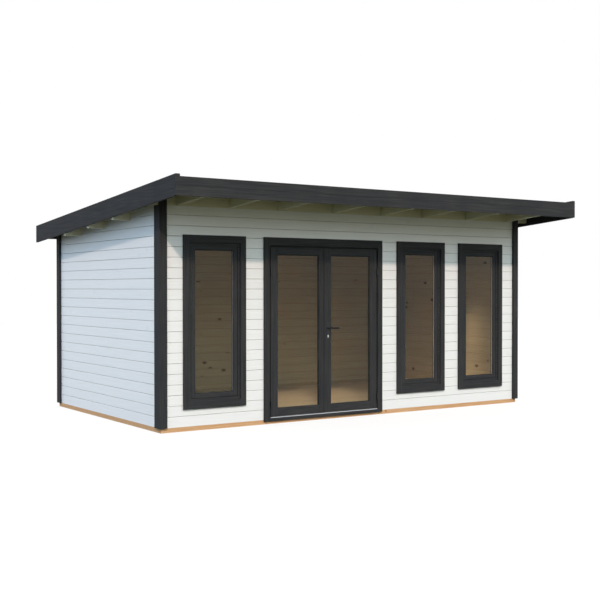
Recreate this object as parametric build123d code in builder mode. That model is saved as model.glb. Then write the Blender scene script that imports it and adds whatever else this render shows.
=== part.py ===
import os

from build123d import *

os.makedirs("parts", exist_ok=True)

# Garden office pod: a log cabin with a flat roof that falls to the back. All sizes are in millimetres.
# The origin is on the ground under the middle of the roof, with +X to the right along the front,
# +Y to the back and +Z up. Heights named as above the base are counted from the foot of the walls.

# Walls of planed logs, measured over their outer faces, with a V-joint at each course
wall_width = 5280.0
wall_depth = 3000.0
wall_thickness = 44.0
log_height = 114.0
joint_depth = 4.5

# Base frame of treated timber, floor and skirting
foundation_height = 50.0
foundation_beam = 70.0
joist_bays = 11
floor_thickness = 19.0
floor_gap = 8.0
skirting_height = 45.0
skirting_thickness = 15.0

# Roof: the deck's underside at the front wall, its fall, and how far it reaches past the walls
deck_height = 2507.0
roof_fall = 0.077
front_overhang = 818.0
rear_overhang = 200.0
side_overhang = 235.5
deck_thickness = 19.0
felt_thickness = 4.0
felt_drip = 10.0

# Fascias and the kerb battens behind the side fascias
fascia_thickness = 26.0
side_fascia_height = 210.0
side_fascia_rise = 42.0
front_fascia_height = 190.0
front_fascia_rise = 24.0
front_fascia_joint = 89.0
fascia_joint_depth = 2.0
rear_fascia_height = 140.0
kerb_width = 24.0

# Purlins across the pod, canopy rafters over the front wall, and the rear wall's top beam
purlin_setbacks = (751.0, 1473.0, 2209.0)
purlin_thickness = 58.0
purlin_depth = 192.0
rafter_offsets = (181.0, 833.0, 1486.0, 2240.0, 2967.0, 3623.0, 4360.0, 5086.0)
rafter_width = 44.0
rafter_depth = 129.0
edge_beam_thickness = 44.0
rear_beam_depth = 140.0

# Corner boards: the width seen from the front or the back, and those seen from the sides
post_thickness = 26.0
post_width = 90.0
front_post_side_width = 131.0
rear_post_side_width = 104.0
eased_edge = 3.0

# Casings and linings round the windows and the door
casing_proud = 25.0
casing_upright = 71.0
casing_rail = 82.0
casing_top = 2070.0
lining_thickness = 40.0
inner_casing_width = 70.0
inner_casing_thickness = 18.0
opening_clearance = 2.0
stop_width = 12.0

# Windows: centres from the left end of the front wall, casing size, sash members
window_centres = (651.0, 3602.0, 4622.0)
window_width = 779.0
window_foot = 185.5
window_frame_face = 28.0
window_frame_proud = 5.0
sash_gap = 3.0
sash_thickness = 40.0
sash_member = 50.0

# Sealed double glazing: two sheets on a spacer bar, set in a groove behind a bevelled edge
glass_thickness = 20.0
glass_sheet = 4.0
spacer_width = 10.0
glass_recess = 12.0
glass_edge = 12.0
frame_bevel = 8.0

# Door: casing size, the edge of the frame that shows inside it, and two leaves that open outwards
door_centre = 2128.0
door_width = 1695.0
door_foot = -18.5
door_head = 1978.0
door_frame_face = 11.0
meeting_offset = -21.0
leaf_gap = 5.0
leaf_ease = 2.0
meeting_gap = 7.0
leaf_thickness = 42.0
leaf_proud = 15.0
leaf_foot = 34.0
hinge_stile = 98.0
left_meeting_stile = 65.0
right_meeting_stile = 103.0
leaf_rail = 91.0
threshold_height = 19.5
threshold_strip_rise = 9.0
threshold_strip_depth = 30.0
threshold_strip_bevel = 2.0

# Hinges: barrels in front of the joint, with plates let into it
hinge_heights = (176.0, 1690.0)
hinge_clear = 1.0
hinge_radius = 7.0
hinge_barrel = 37.0
hinge_pin_radius = 4.0
hinge_pin_clearance = 0.3
hinge_pin_reach = 26.0
hinge_pin_end_gap = 1.8
hinge_split = 1.0
hinge_plate = 2.0
hinge_plate_depth = 60.0

# Lever handle and lock
lever_height = 1021.0
cylinder_height = 934.0
plate_width = 40.0
plate_height = 230.0
plate_thickness = 3.0
plate_centre = 980.0
lever_radius = 9.0
lever_reach = 46.0
lever_bend = 18.0
lever_clearance = 0.3
grip_length = 132.0
grip_bevel = 4.0
spindle_radius = 5.0
spindle_clearance = 5.0
cylinder_radius = 8.5
cylinder_web = 10.0
cylinder_drop = 19.5
cylinder_clearance = 0.1
cylinder_proud = 3.0
keyway_width = 2.4
keyway_height = 9.0
keyway_depth = 18.0

# Places that follow from the sizes above
roof_depth = front_overhang + wall_depth + rear_overhang
left_x = -wall_width / 2
right_x = wall_width / 2
roof_front = -roof_depth / 2
roof_rear = roof_depth / 2
front_y = roof_front + front_overhang
rear_y = front_y + wall_depth
base_z = foundation_height
eave_left = left_x - side_overhang + fascia_thickness
eave_right = right_x + side_overhang - fascia_thickness
eave_front = roof_front + fascia_thickness
eave_rear = roof_rear - felt_drip - fascia_thickness


def deck_under(y):
    """Height of the deck's underside at a place from front to back."""
    return base_z + deck_height - roof_fall * (y - front_y)


def facade(y):
    """An upright plane that faces the front."""
    return Plane.XZ.offset(-y)


def board(x_low, x_high, z_low, z_high, y_low, y_high, mode=Mode.ADD):
    """A squared board or block between two upright faces."""
    with BuildSketch(facade(y_low)) as section:
        with Locations(((x_low + x_high) / 2, (z_low + z_high) / 2)):
            Rectangle(x_high - x_low, z_high - z_low)
    extrude(section.sketch, amount=y_low - y_high, mode=mode)


def ring(x_low, x_high, z_low, z_high, members, y_low, y_high):
    """Four boards round an opening; members gives the left, right, foot and head widths."""
    left, right, foot, head = members
    with BuildSketch(facade(y_low)) as section:
        with Locations(((x_low + x_high) / 2, (z_low + z_high) / 2)):
            Rectangle(x_high - x_low, z_high - z_low)
        with Locations(((x_low + left + x_high - right) / 2, (z_low + foot + z_high - head) / 2)):
            Rectangle(x_high - x_low - left - right, z_high - z_low - foot - head, mode=Mode.SUBTRACT)
    extrude(section.sketch, amount=y_low - y_high)


def even(width):
    """The same width for all four members of a frame."""
    return (width, width, width, width)


def ease_front_edges(length):
    """Takes the sharp edges off the foremost face."""
    chamfer(faces().sort_by(Axis.Y)[0].edges(), length)


def sloped_band(y_low, y_high, low, high):
    """A band that follows the roof's fall, between two heights over the deck's underside."""
    with BuildLine() as outline:
        Polyline(
            (y_low, deck_under(y_low) + low),
            (y_high, deck_under(y_high) + low),
            (y_high, deck_under(y_high) + high),
            (y_low, deck_under(y_low) + high),
            close=True,
        )
    make_face(outline.edges())


def level_foot_band(y_low, y_high, foot):
    """A wall's or beam's section: its top follows the deck and its foot is level."""
    with BuildLine() as outline:
        Polyline(
            (y_low, foot),
            (y_high, foot),
            (y_high, deck_under(y_high)),
            (y_low, deck_under(y_low)),
            close=True,
        )
    make_face(outline.edges())


def joint_squares(points, depth):
    """Squares set on a corner, whose inner halves cut V-joints into the faces they stand on."""
    side = depth * 2**0.5
    with Locations(*points):
        Rectangle(side, side, rotation=45)


# Base frame: a ring of beams on the ground with joists from front to back

bay_width = (wall_width - (joist_bays + 1) * foundation_beam) / joist_bays
bay_depth = wall_depth - 2 * foundation_beam

with BuildPart() as foundation_frame:
    with BuildSketch(Plane.XY):
        with Locations((0, front_y + wall_depth / 2)):
            Rectangle(wall_width, wall_depth)
            with GridLocations(bay_width + foundation_beam, 0, joist_bays, 1):
                Rectangle(bay_width, bay_depth, mode=Mode.SUBTRACT)
    extrude(amount=foundation_height)

foundation_frame.part.label = "foundation_frame"
export_step(foundation_frame.part, "parts/foundation_frame.step")

# Floor of tongued boards, laid on the joists inside the walls

with BuildPart() as floor_boards:
    with BuildSketch(Plane.XY.offset(base_z)):
        with Locations((0, front_y + wall_depth / 2)):
            Rectangle(
                wall_width - 2 * (wall_thickness + floor_gap),
                wall_depth - 2 * (wall_thickness + floor_gap),
            )
    extrude(amount=floor_thickness)

floor_boards.part.label = "floor_boards"
export_step(floor_boards.part, "parts/floor_boards.step")

# Front wall: its top carries the canopy rafters, and it stands in pieces beside and over the doorway

front_wall_top = deck_under(front_y + wall_thickness) - rafter_depth
door_left = left_x + door_centre - door_width / 2
door_right = left_x + door_centre + door_width / 2
jamb_left = door_left + casing_upright + door_frame_face
jamb_right = door_right - casing_upright - door_frame_face
head_z = base_z + door_head - door_frame_face
lining_room = lining_thickness + opening_clearance
door_rough_left = jamb_left - lining_room
door_rough_right = jamb_right + lining_room
door_rough_head = head_z + lining_room
inner_left = left_x + wall_thickness
inner_right = right_x - wall_thickness
front_inner = front_y + wall_thickness
rear_inner = rear_y - wall_thickness


def window_edges(centre, outwards):
    """Left, right, foot and head of a window, so far outwards from its casing's inner edge."""
    return (
        left_x + centre - window_width / 2 + casing_upright - outwards,
        left_x + centre + window_width / 2 - casing_upright + outwards,
        base_z + window_foot + casing_rail - outwards,
        base_z + casing_top - casing_rail + outwards,
    )


def cut_window(centre):
    """The hole that a window's lining stands in."""
    board(*window_edges(centre, lining_room), front_y, front_inner, mode=Mode.SUBTRACT)


def joint_heights(wall_top):
    """Heights of the joints between the logs below a wall's top."""
    courses = int((wall_top - base_z) / log_height)
    return [base_z + course * log_height for course in range(1, courses + 1)]


def cut_joints_across(y_outer, y_inner, wall_top):
    """V-joints from left to right on both faces of a wall."""
    with BuildSketch(Plane.YZ.offset(left_x)) as joints:
        heights = joint_heights(wall_top)
        joint_squares([(y, z) for y in (y_outer, y_inner) for z in heights], joint_depth)
    extrude(joints.sketch, amount=wall_width, mode=Mode.SUBTRACT)


with BuildPart() as front_wall_left:
    board(inner_left, door_rough_left, base_z, front_wall_top, front_y, front_inner)
    cut_joints_across(front_y, front_inner, front_wall_top)
    cut_window(window_centres[0])

front_wall_left.part.label = "front_wall_left"
export_step(front_wall_left.part, "parts/front_wall_left.step")

with BuildPart() as front_wall_over_door:
    board(door_rough_left, door_rough_right, door_rough_head, front_wall_top, front_y, front_inner)
    cut_joints_across(front_y, front_inner, front_wall_top)

front_wall_over_door.part.label = "front_wall_over_door"
export_step(front_wall_over_door.part, "parts/front_wall_over_door.step")

with BuildPart() as front_wall_right:
    board(door_rough_right, inner_right, base_z, front_wall_top, front_y, front_inner)
    cut_joints_across(front_y, front_inner, front_wall_top)
    cut_window(window_centres[1])
    cut_window(window_centres[2])

front_wall_right.part.label = "front_wall_right"
export_step(front_wall_right.part, "parts/front_wall_right.step")

# Side walls: they rise to the deck and are notched for the purlins and the top beams

purlin_fronts = [front_y + setback for setback in purlin_setbacks]
rear_wall_top = deck_under(rear_y) - rear_beam_depth


def beam_sections():
    """The purlins, the blocks on the front wall and the rear beam, seen from the side."""
    for purlin_front in purlin_fronts:
        purlin_rear = purlin_front + purlin_thickness
        level_foot_band(purlin_front, purlin_rear, deck_under(purlin_rear) - purlin_depth)
    level_foot_band(front_y, front_inner, front_wall_top)
    level_foot_band(rear_inner, rear_y, rear_wall_top)


for name, side_x in (("left_wall", left_x), ("right_wall", inner_right)):
    with BuildPart() as side_wall:
        with BuildSketch(Plane.YZ.offset(side_x)):
            level_foot_band(front_y, rear_y, base_z)
        extrude(amount=wall_thickness)
        with BuildSketch(facade(front_y)):
            side_faces = (side_x, side_x + wall_thickness)
            side_heights = joint_heights(deck_under(front_y))
            joint_squares([(x, z) for x in side_faces for z in side_heights], joint_depth)
        extrude(amount=-wall_depth, mode=Mode.SUBTRACT)
        with BuildSketch(Plane.YZ.offset(side_x)):
            beam_sections()
        extrude(amount=wall_thickness, mode=Mode.SUBTRACT)

    side_wall.part.label = name
    export_step(side_wall.part, f"parts/{name}.step")

# Back wall: closed, between the side walls, up to the rear beam

with BuildPart() as back_wall:
    board(inner_left, inner_right, base_z, rear_wall_top, rear_inner, rear_y)
    cut_joints_across(rear_inner, rear_y, rear_wall_top)

back_wall.part.label = "back_wall"
export_step(back_wall.part, "parts/back_wall.step")

# Corner boards: an L of planed board over each corner of the log walls, up to the top beams, whose
# outer board goes on to the deck and covers the beam

corners = (
    ("front_left_post", -1, -1, front_post_side_width),
    ("front_right_post", 1, -1, front_post_side_width),
    ("back_left_post", -1, 1, rear_post_side_width),
    ("back_right_post", 1, 1, rear_post_side_width),
)

for name, side, end, side_width in corners:
    corner_x = side * wall_width / 2
    corner_y = front_y if end < 0 else rear_y
    beam_foot = front_wall_top if end < 0 else rear_wall_top
    outer_x = corner_x + side * post_thickness
    outer_y = corner_y + end * post_thickness
    inner_x = outer_x - side * post_width
    deck_z = deck_under(max(corner_y, outer_y))
    with BuildPart() as corner_post:
        with BuildSketch(Plane.XY.offset(base_z)):
            with BuildLine():
                Polyline(
                    (outer_x, outer_y),
                    (inner_x, outer_y),
                    (inner_x, corner_y),
                    (corner_x, corner_y),
                    (corner_x, outer_y - end * side_width),
                    (outer_x, outer_y - end * side_width),
                    close=True,
                )
            make_face()
        extrude(amount=beam_foot - base_z)
        board(
            min(outer_x, inner_x),
            max(outer_x, inner_x),
            beam_foot,
            deck_z,
            min(corner_y, outer_y),
            max(corner_y, outer_y),
        )
        uprights = corner_post.edges().filter_by(Axis.Z)
        chamfer(uprights.sort_by_distance((outer_x, outer_y, base_z))[0], eased_edge)

    corner_post.part.label = name
    export_step(corner_post.part, f"parts/{name}.step")

# Skirting round the floor, left out across the doorway

with BuildPart() as skirting:
    skirting_top = base_z + floor_thickness + skirting_height
    with BuildSketch(Plane.XY.offset(base_z + floor_thickness)):
        with Locations((0, front_y + wall_depth / 2)):
            Rectangle(wall_width - 2 * wall_thickness, wall_depth - 2 * wall_thickness)
            Rectangle(
                wall_width - 2 * (wall_thickness + skirting_thickness),
                wall_depth - 2 * (wall_thickness + skirting_thickness),
                mode=Mode.SUBTRACT,
            )
    extrude(amount=skirting_height)
    board(
        door_rough_left - inner_casing_width,
        door_rough_right + inner_casing_width,
        base_z,
        skirting_top,
        front_inner,
        front_inner + skirting_thickness,
        mode=Mode.SUBTRACT,
    )

skirting.part.label = "skirting"
export_step(skirting.part, "parts/skirting.step")

# Windows: a frame that wraps the wall's edge, a fixed sash and its double glazing

glass_front = glass_recess
glass_rear = glass_front + glass_thickness
frame_rear = front_inner + inner_casing_thickness


def groove_edges(x_low, x_high, z_low, z_high, members):
    """Left, right, foot and head of the groove that a frame's pane stands in."""
    left, right, foot, head = members
    return (
        x_low + left - glass_edge,
        x_high - right + glass_edge,
        z_low + foot - glass_edge,
        z_high - head + glass_edge,
    )


def glazed_frame(x_low, x_high, z_low, z_high, members, y_face, thickness):
    """Stiles and rails with eased and bevelled edges and a groove that holds a pane."""
    ring(x_low, x_high, z_low, z_high, members, y_face, y_face + thickness)
    front = faces().sort_by(Axis.Y)[0]
    chamfer(front.inner_wires()[0].edges(), frame_bevel)
    front = faces().sort_by(Axis.Y)[0]
    chamfer(front.outer_wire().edges(), leaf_ease)
    groove = groove_edges(x_low, x_high, z_low, z_high, members)
    board(*groove, y_face + glass_front, y_face + glass_rear, mode=Mode.SUBTRACT)


def pane_sheets(x_low, x_high, z_low, z_high, members, y_face):
    """The two sheets of glass that lie against the front and the back of the groove."""
    groove = groove_edges(x_low, x_high, z_low, z_high, members)
    for sheet_front in (y_face + glass_front, y_face + glass_rear - glass_sheet):
        board(*groove, sheet_front, sheet_front + glass_sheet)


def spacer_bar(x_low, x_high, z_low, z_high, members, y_face):
    """The bar round the edge of a pane that keeps its two sheets apart."""
    groove = groove_edges(x_low, x_high, z_low, z_high, members)
    bar_front = y_face + glass_front + glass_sheet
    ring(*groove, even(spacer_width), bar_front, y_face + glass_rear - glass_sheet)


def sash_outline(centre):
    """Outline, members and face of a fixed sash, as glazed_frame takes them."""
    edges = window_edges(centre, -window_frame_face - sash_gap)
    return (*edges, even(sash_member), front_y)


def window_ring(centre, outwards, inwards, y_low, y_high):
    """Four boards round a window that reach out and in from the casing's inner edge."""
    ring(*window_edges(centre, outwards), even(outwards + inwards), y_low, y_high)


for number, centre in enumerate(window_centres, start=1):
    with BuildPart() as window_frame:
        ring(
            left_x + centre - window_width / 2,
            left_x + centre + window_width / 2,
            base_z + window_foot,
            base_z + casing_top,
            (casing_upright, casing_upright, casing_rail, casing_rail),
            front_y - casing_proud,
            front_y,
        )
        ease_front_edges(eased_edge)
        window_ring(centre, 0, window_frame_face, front_y - window_frame_proud, front_y)
        window_ring(centre, lining_thickness, window_frame_face, front_y, frame_rear)
        window_ring(centre, inner_casing_width, 0, front_inner, frame_rear)
        window_ring(centre, 0, window_frame_face + stop_width, front_y + sash_thickness, frame_rear)

    window_frame.part.label = f"window_{number}_frame"
    export_step(window_frame.part, f"parts/window_{number}_frame.step")

    with BuildPart() as window_sash:
        glazed_frame(*sash_outline(centre), sash_thickness)

    window_sash.part.label = f"window_{number}_sash"
    export_step(window_sash.part, f"parts/window_{number}_sash.step")

    with BuildPart() as window_glass:
        pane_sheets(*sash_outline(centre))

    window_glass.part.label = f"window_{number}_glass"
    export_step(window_glass.part, f"parts/window_{number}_glass.step")

with BuildPart() as window_spacers:
    for centre in window_centres:
        spacer_bar(*sash_outline(centre))

window_spacers.part.label = "window_spacers"
export_step(window_spacers.part, "parts/window_spacers.step")

# Door frame: outer casing, lining with a stop behind the leaves, and inner casing

leaf_face = front_y - leaf_proud
leaf_back = leaf_face + leaf_thickness
stop_face = leaf_back + leaf_gap


def arch(x_low, x_high, z_low, z_high, side, head, y_low, y_high):
    """Two uprights and a head, open at the foot."""
    with BuildSketch(facade(y_low)) as section:
        with Locations(((x_low + x_high) / 2, (z_low + z_high) / 2)):
            Rectangle(x_high - x_low, z_high - z_low)
        with Locations(((x_low + x_high) / 2, (z_low + z_high - head) / 2)):
            Rectangle(x_high - x_low - 2 * side, z_high - z_low - head, mode=Mode.SUBTRACT)
    extrude(section.sketch, amount=y_low - y_high)


with BuildPart() as door_frame:
    arch(
        door_left,
        door_right,
        base_z + door_foot,
        base_z + casing_top,
        casing_upright,
        casing_top - door_head,
        front_y - casing_proud,
        front_y,
    )
    ease_front_edges(eased_edge)
    arch(
        jamb_left - lining_thickness,
        jamb_right + lining_thickness,
        base_z,
        head_z + lining_thickness,
        lining_thickness,
        lining_thickness,
        front_y,
        front_inner,
    )
    arch(jamb_left, jamb_right, base_z, head_z, stop_width, stop_width, stop_face, front_inner)
    arch(
        jamb_left - inner_casing_width,
        jamb_right + inner_casing_width,
        base_z + floor_thickness,
        head_z + inner_casing_width,
        inner_casing_width + stop_width,
        inner_casing_width + stop_width,
        front_inner,
        frame_rear,
    )

door_frame.part.label = "door_frame"
export_step(door_frame.part, "parts/door_frame.step")

# Threshold: a sill board with an apron over the base frame, and a bright metal strip on it

threshold_top = base_z + threshold_height
strip_top = threshold_top + threshold_strip_rise

with BuildPart() as door_threshold:
    board(
        door_left + casing_upright,
        door_right - casing_upright,
        base_z + door_foot,
        threshold_top,
        front_y - casing_proud,
        front_y,
    )
    board(jamb_left, jamb_right, base_z, threshold_top, front_y, stop_face)

door_threshold.part.label = "door_threshold"
export_step(door_threshold.part, "parts/door_threshold.step")

with BuildPart() as threshold_strip:
    strip_front = front_y - casing_proud
    board(jamb_left, jamb_right, threshold_top, strip_top, strip_front, strip_front + threshold_strip_depth)
    upper_edges = faces().sort_by(Axis.Z)[-1].edges().filter_by(Axis.X)
    chamfer(upper_edges, threshold_strip_bevel)

threshold_strip.part.label = "threshold_strip"
export_step(threshold_strip.part, "parts/threshold_strip.step")

# Door leaves: stiles and rails round one tall pane each, meeting a little left of the middle

meeting_x = left_x + door_centre + meeting_offset
leaf_head = head_z - leaf_gap
handle_x = meeting_x + meeting_gap / 2 + right_meeting_stile / 2
leaves = (
    ("left_door", jamb_left + leaf_gap, meeting_x - meeting_gap / 2, hinge_stile, left_meeting_stile),
    ("right_door", meeting_x + meeting_gap / 2, jamb_right - leaf_gap, right_meeting_stile, hinge_stile),
)


def cylinder_profile(clearance):
    """The section of the lock cylinder: a round barrel over a narrow web with a round foot."""
    cylinder_z = base_z + cylinder_height
    with Locations((handle_x, cylinder_z)):
        Circle(cylinder_radius + clearance)
    with Locations((handle_x, cylinder_z - cylinder_drop / 2)):
        Rectangle(cylinder_web + 2 * clearance, cylinder_drop)
    with Locations((handle_x, cylinder_z - cylinder_drop)):
        Circle(cylinder_web / 2 + clearance)


for name, leaf_left, leaf_right, left_stile, right_stile in leaves:
    leaf_members = (left_stile, right_stile, leaf_rail, leaf_rail)
    leaf_outline = (leaf_left, leaf_right, base_z + leaf_foot, leaf_head, leaf_members, leaf_face)

    with BuildPart() as door_leaf:
        glazed_frame(*leaf_outline, leaf_thickness)
        if name == "right_door":
            with BuildSketch(facade(leaf_face)) as lock_holes:
                with Locations((handle_x, base_z + lever_height)):
                    Circle(spindle_radius + spindle_clearance)
                cylinder_profile(cylinder_clearance)
            extrude(lock_holes.sketch, amount=-leaf_thickness, mode=Mode.SUBTRACT)

    door_leaf.part.label = f"{name}_leaf"
    export_step(door_leaf.part, f"parts/{name}_leaf.step")

    with BuildPart() as door_glass:
        pane_sheets(*leaf_outline)

    door_glass.part.label = f"{name}_glass"
    export_step(door_glass.part, f"parts/{name}_glass.step")

    with BuildPart() as door_spacer:
        spacer_bar(*leaf_outline)

    door_spacer.part.label = f"{name}_spacer"
    export_step(door_spacer.part, f"parts/{name}_spacer.step")

# Hinges: a pin on the frame carries a barrel on the leaf, each with a plate on the edge beside it

hinge_y = front_y - casing_proud - hinge_clear - hinge_radius
hinge_sides = (
    ("left_door", jamb_left, 1),
    ("right_door", jamb_right, -1),
)


def hinge_plates(edge_x, inwards, z_low):
    """A plate from the barrel back along the edge of the frame or the leaf."""
    far_x = edge_x + inwards * hinge_plate
    x_low = min(edge_x, far_x)
    x_high = max(edge_x, far_x)
    board(x_low, x_high, z_low, z_low + hinge_barrel, hinge_y, hinge_y + hinge_plate_depth)


with BuildPart() as frame_hinges:
    for name, jamb_x, inwards in hinge_sides:
        pin_x = jamb_x + inwards * leaf_gap / 2
        for height in hinge_heights:
            foot = base_z + height - hinge_barrel
            with BuildSketch(Plane.XY.offset(foot)):
                with Locations((pin_x, hinge_y)):
                    Circle(hinge_radius)
            extrude(amount=hinge_barrel)
            with BuildSketch(Plane.XY.offset(foot)):
                with Locations((pin_x, hinge_y)):
                    Circle(hinge_pin_radius)
            extrude(amount=hinge_barrel + hinge_split + hinge_pin_reach)
            hinge_plates(jamb_x, inwards, foot)

frame_hinges.part.label = "frame_hinges"
export_step(frame_hinges.part, "parts/frame_hinges.step")

for name, jamb_x, inwards in hinge_sides:
    pin_x = jamb_x + inwards * leaf_gap / 2
    edge_x = jamb_x + inwards * leaf_gap
    with BuildPart() as leaf_hinges:
        for height in hinge_heights:
            foot = base_z + height + hinge_split
            with BuildSketch(Plane.XY.offset(foot)):
                with Locations((pin_x, hinge_y)):
                    Circle(hinge_radius)
            extrude(amount=hinge_barrel)
            hinge_plates(edge_x, -inwards, foot)
            with BuildSketch(Plane.XY.offset(foot)):
                with Locations((pin_x, hinge_y)):
                    Circle(hinge_pin_radius + hinge_pin_clearance)
            extrude(amount=hinge_pin_reach + hinge_pin_end_gap, mode=Mode.SUBTRACT)

    leaf_hinges.part.label = f"{name}_hinges"
    export_step(leaf_hinges.part, f"parts/{name}_hinges.step")

# Lever handle: a long plate on each face of the right leaf, and a bent lever at each end of one spindle

plate_faces = ((leaf_face - plate_thickness, leaf_face), (leaf_back, leaf_back + plate_thickness))
lever_z = base_z + lever_height

with BuildPart() as handle_plates:
    for y_low, y_high in plate_faces:
        with BuildSketch(facade(y_low)) as plate_section:
            with Locations((handle_x, base_z + plate_centre)):
                SlotOverall(plate_height, plate_width, rotation=90)
            with Locations((handle_x, lever_z)):
                Circle(lever_radius + lever_clearance, mode=Mode.SUBTRACT)
        with BuildSketch(facade(y_low)) as cylinder_hole:
            cylinder_profile(cylinder_clearance)
        extrude(plate_section.sketch - cylinder_hole.sketch, amount=y_low - y_high)

handle_plates.part.label = "handle_plates"
export_step(handle_plates.part, "parts/handle_plates.step")

with BuildPart() as lock_cylinder:
    cylinder_front = leaf_face - plate_thickness - cylinder_proud
    cylinder_rear = leaf_back + plate_thickness + cylinder_proud
    with BuildSketch(facade(cylinder_front)) as cylinder_section:
        cylinder_profile(0)
    extrude(cylinder_section.sketch, amount=cylinder_front - cylinder_rear)
    for keyway_mouth, inwards in ((cylinder_front, -1), (cylinder_rear, 1)):
        with BuildSketch(facade(keyway_mouth)) as keyway:
            with Locations((handle_x, base_z + cylinder_height)):
                Rectangle(keyway_width, keyway_height)
        extrude(keyway.sketch, amount=inwards * keyway_depth, mode=Mode.SUBTRACT)

lock_cylinder.part.label = "lock_cylinder"
export_step(lock_cylinder.part, "parts/lock_cylinder.step")

with BuildPart() as lever_handle:
    with BuildSketch(facade(leaf_face)) as spindle:
        with Locations((handle_x, lever_z)):
            Circle(spindle_radius)
    extrude(spindle.sketch, amount=-leaf_thickness)
    for face_y, outwards in ((leaf_face, -1), (leaf_back, 1)):
        grip_y = face_y + outwards * lever_reach
        with BuildLine() as lever_path:
            FilletPolyline(
                (handle_x, face_y, lever_z),
                (handle_x, grip_y, lever_z),
                (handle_x + grip_length, grip_y, lever_z),
                radius=lever_bend,
            )
        with BuildSketch(facade(face_y)) as lever_section:
            with Locations((handle_x, lever_z)):
                Circle(lever_radius)
        sweep(lever_section.sketch, path=lever_path.wires()[0])
    grip_ends = faces().sort_by(Axis.X)[-2:]
    chamfer(grip_ends.edges(), grip_bevel)

lever_handle.part.label = "lever_handle"
export_step(lever_handle.part, "parts/lever_handle.step")

# Roof timber: purlins and an edge beam from fascia to fascia, canopy rafters, and the top beams

edge_beam_rear = eave_front + edge_beam_thickness

with BuildPart() as purlins:
    with BuildSketch(Plane.YZ.offset(eave_left)):
        for purlin_front in purlin_fronts:
            purlin_rear = purlin_front + purlin_thickness
            level_foot_band(purlin_front, purlin_rear, deck_under(purlin_rear) - purlin_depth)
    extrude(amount=eave_right - eave_left)

purlins.part.label = "purlins"
export_step(purlins.part, "parts/purlins.step")

with BuildPart() as front_edge_beam:
    with BuildSketch(Plane.YZ.offset(eave_left)):
        sloped_band(eave_front, edge_beam_rear, -rafter_depth, 0)
    extrude(amount=eave_right - eave_left)

front_edge_beam.part.label = "front_edge_beam"
export_step(front_edge_beam.part, "parts/front_edge_beam.step")

with BuildPart() as canopy_rafters:
    for offset_x in rafter_offsets:
        with BuildSketch(Plane.YZ.offset(left_x + offset_x)):
            sloped_band(edge_beam_rear, purlin_fronts[0], -rafter_depth, 0)
        extrude(amount=rafter_width)

canopy_rafters.part.label = "canopy_rafters"
export_step(canopy_rafters.part, "parts/canopy_rafters.step")

with BuildPart() as front_blocks:
    rafter_lefts = [left_x + offset_x for offset_x in rafter_offsets]
    block_starts = [eave_left] + [rafter_left + rafter_width for rafter_left in rafter_lefts]
    block_ends = rafter_lefts + [eave_right]
    for block_start, block_end in zip(block_starts, block_ends):
        with BuildSketch(Plane.YZ.offset(block_start)):
            level_foot_band(front_y, front_inner, front_wall_top)
        extrude(amount=block_end - block_start)

front_blocks.part.label = "front_blocks"
export_step(front_blocks.part, "parts/front_blocks.step")

with BuildPart() as rear_beam:
    with BuildSketch(Plane.YZ.offset(eave_left)):
        level_foot_band(rear_inner, rear_y, rear_wall_top)
    extrude(amount=eave_right - eave_left)

rear_beam.part.label = "rear_beam"
export_step(rear_beam.part, "parts/rear_beam.step")

# Roof deck, felt and kerbs

with BuildPart() as roof_boards:
    with BuildSketch(Plane.YZ.offset(eave_left)):
        sloped_band(eave_front, eave_rear, 0, deck_thickness)
    extrude(amount=eave_right - eave_left)

roof_boards.part.label = "roof_boards"
export_step(roof_boards.part, "parts/roof_boards.step")

with BuildPart() as roof_kerbs:
    for kerb_x in (eave_left, eave_right - kerb_width):
        with BuildSketch(Plane.YZ.offset(kerb_x)):
            sloped_band(eave_front, eave_rear, deck_thickness, side_fascia_rise)
        extrude(amount=kerb_width)

roof_kerbs.part.label = "roof_kerbs"
export_step(roof_kerbs.part, "parts/roof_kerbs.step")

with BuildPart() as roof_felt:
    with BuildSketch(Plane.YZ.offset(eave_left + kerb_width)):
        sloped_band(eave_front, roof_rear, deck_thickness, deck_thickness + felt_thickness)
    extrude(amount=eave_right - eave_left - 2 * kerb_width)

roof_felt.part.label = "roof_felt"
export_step(roof_felt.part, "parts/roof_felt.step")

# Fascias: the front one covers the ends of the side ones, and the rear one closes the deck's low edge

with BuildPart() as front_fascia:
    front_fascia_top = deck_under(roof_front) + front_fascia_rise
    board(
        left_x - side_overhang,
        right_x + side_overhang,
        front_fascia_top - front_fascia_height,
        front_fascia_top,
        roof_front,
        eave_front,
    )
    with BuildSketch(Plane.YZ.offset(left_x - side_overhang)):
        joint_squares([(roof_front, front_fascia_top - front_fascia_joint)], fascia_joint_depth)
    extrude(amount=wall_width + 2 * side_overhang, mode=Mode.SUBTRACT)

front_fascia.part.label = "front_fascia"
export_step(front_fascia.part, "parts/front_fascia.step")

for name, fascia_x in (("left_fascia", left_x - side_overhang), ("right_fascia", eave_right)):
    with BuildPart() as side_fascia:
        with BuildSketch(Plane.YZ.offset(fascia_x)):
            sloped_band(eave_front, roof_rear, side_fascia_rise - side_fascia_height, side_fascia_rise)
        extrude(amount=fascia_thickness)

    side_fascia.part.label = name
    export_step(side_fascia.part, f"parts/{name}.step")

with BuildPart() as rear_fascia:
    with BuildSketch(Plane.YZ.offset(eave_left)):
        rear_fascia_foot = deck_thickness - rear_fascia_height
        sloped_band(eave_rear, eave_rear + fascia_thickness, rear_fascia_foot, deck_thickness)
    extrude(amount=eave_right - eave_left)

rear_fascia.part.label = "rear_fascia"
export_step(rear_fascia.part, "parts/rear_fascia.step")
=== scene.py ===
import math

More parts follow.
